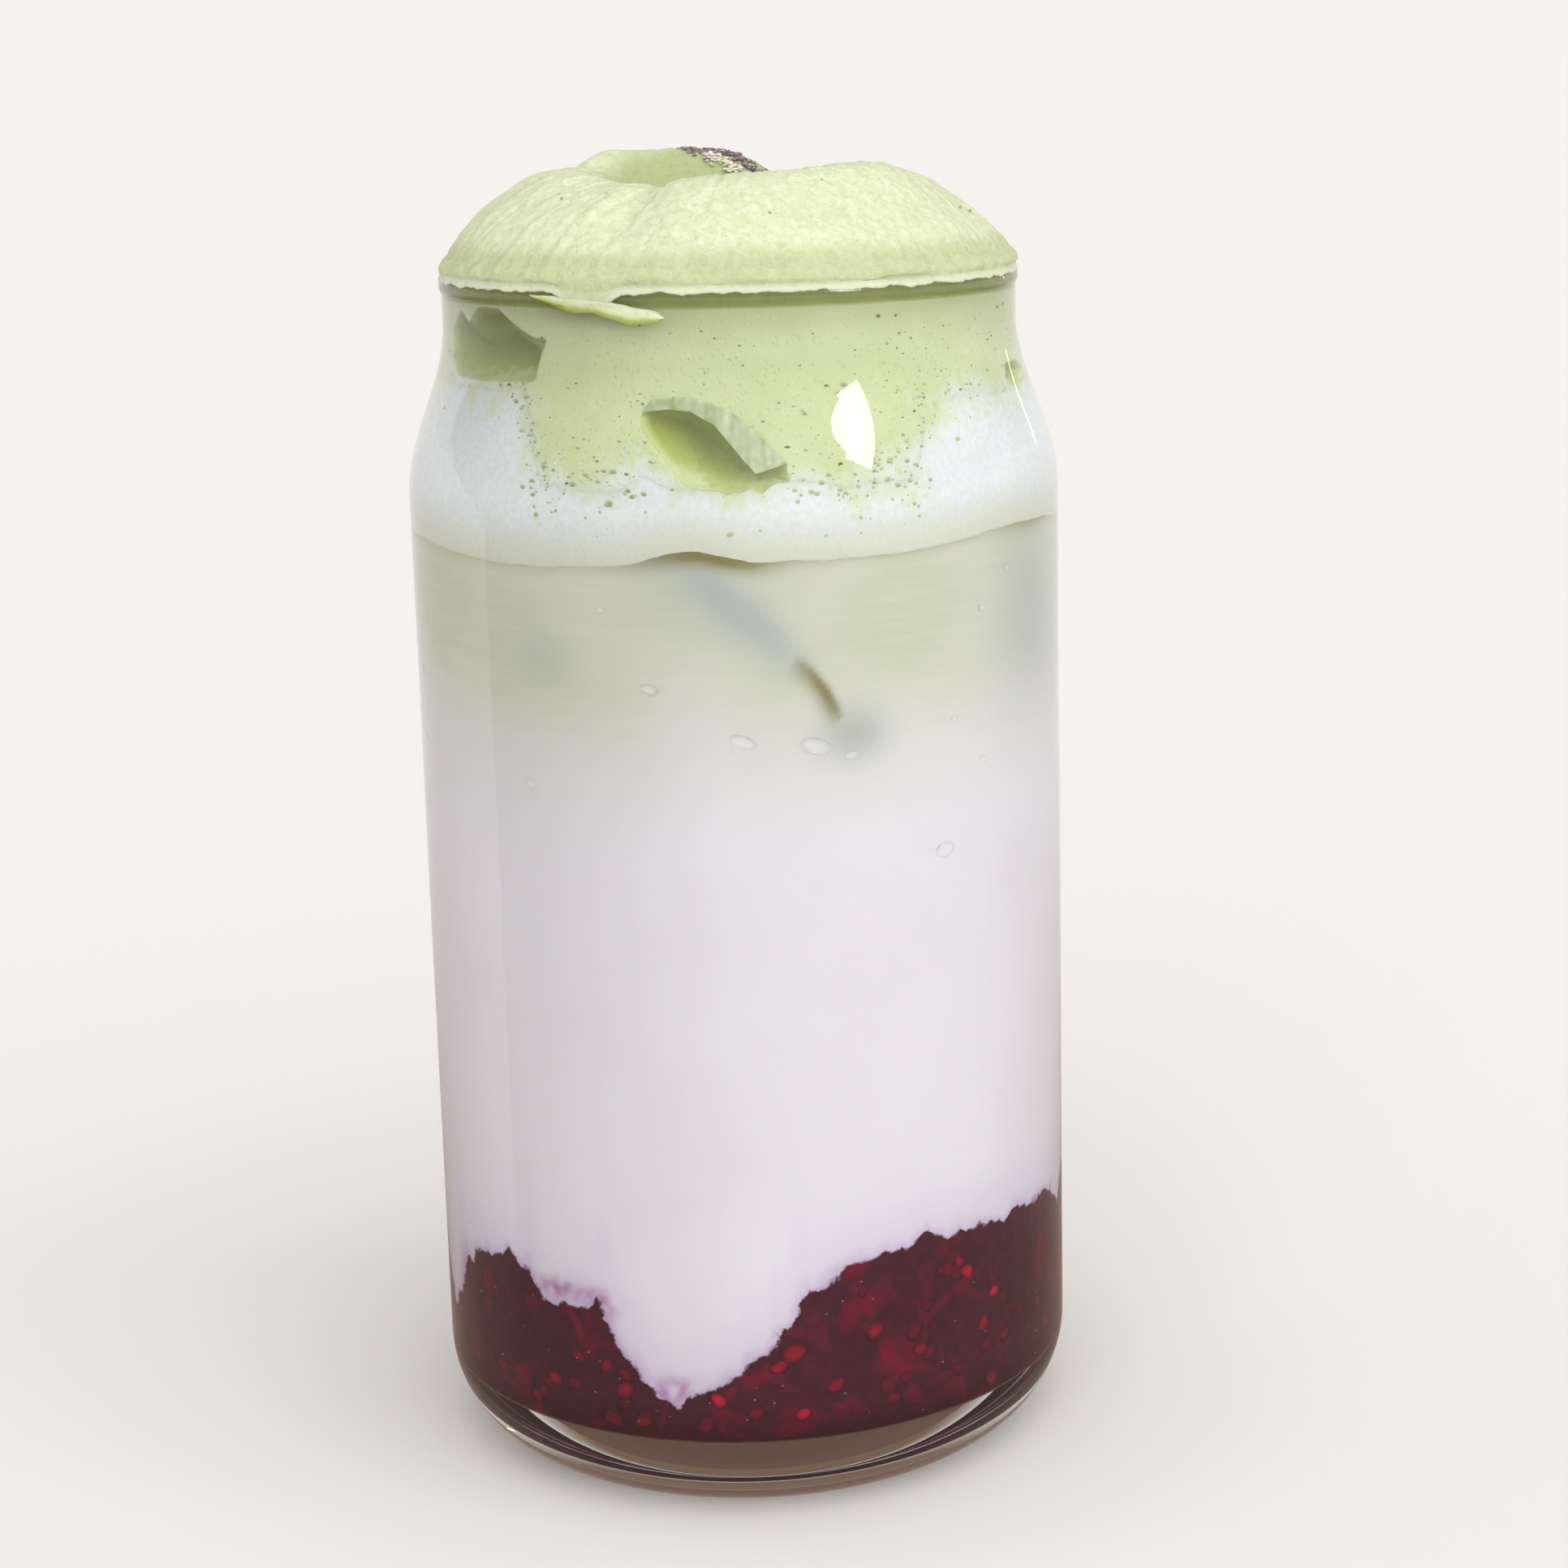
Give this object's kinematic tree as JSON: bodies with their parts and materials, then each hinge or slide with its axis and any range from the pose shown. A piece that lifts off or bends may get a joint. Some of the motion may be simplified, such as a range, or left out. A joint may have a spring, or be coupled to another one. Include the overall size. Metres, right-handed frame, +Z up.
{
  "type": "iced matcha latte in a glass",
  "caption": "Tall can-shaped glass of iced latte in layers: dark berry jam, milk, milk foam and a whipped green matcha cream that domes over the rim.",
  "frame": {"origin": "centre of the glass's standing ring, on the surface that it stands on", "axes": "+Z up along the glass's axis, -Y towards the viewer of the picture, +X to the viewer's right"},
  "size_m": [0.075, 0.075, 0.1512],
  "materials": {
    "glass": "clear pressed soda-lime glass, smooth",
    "jam": "dark red berry jam, glossy, with seeds",
    "milk": "milk against glass, smooth",
    "foam": "fine white milk foam",
    "cream": "pale green whipped cream with fine bubbles",
    "ice": "clear wet ice",
    "water": "drops of condensed water",
    "crumb": "dry topping crumbs"
  },
  "bodies": {
    "root": {"glass": "glass", "berry_jam": "jam", "milk": "milk", "milk_foam": "foam", "matcha_cream": "cream"}
  },
  "joints": []
}
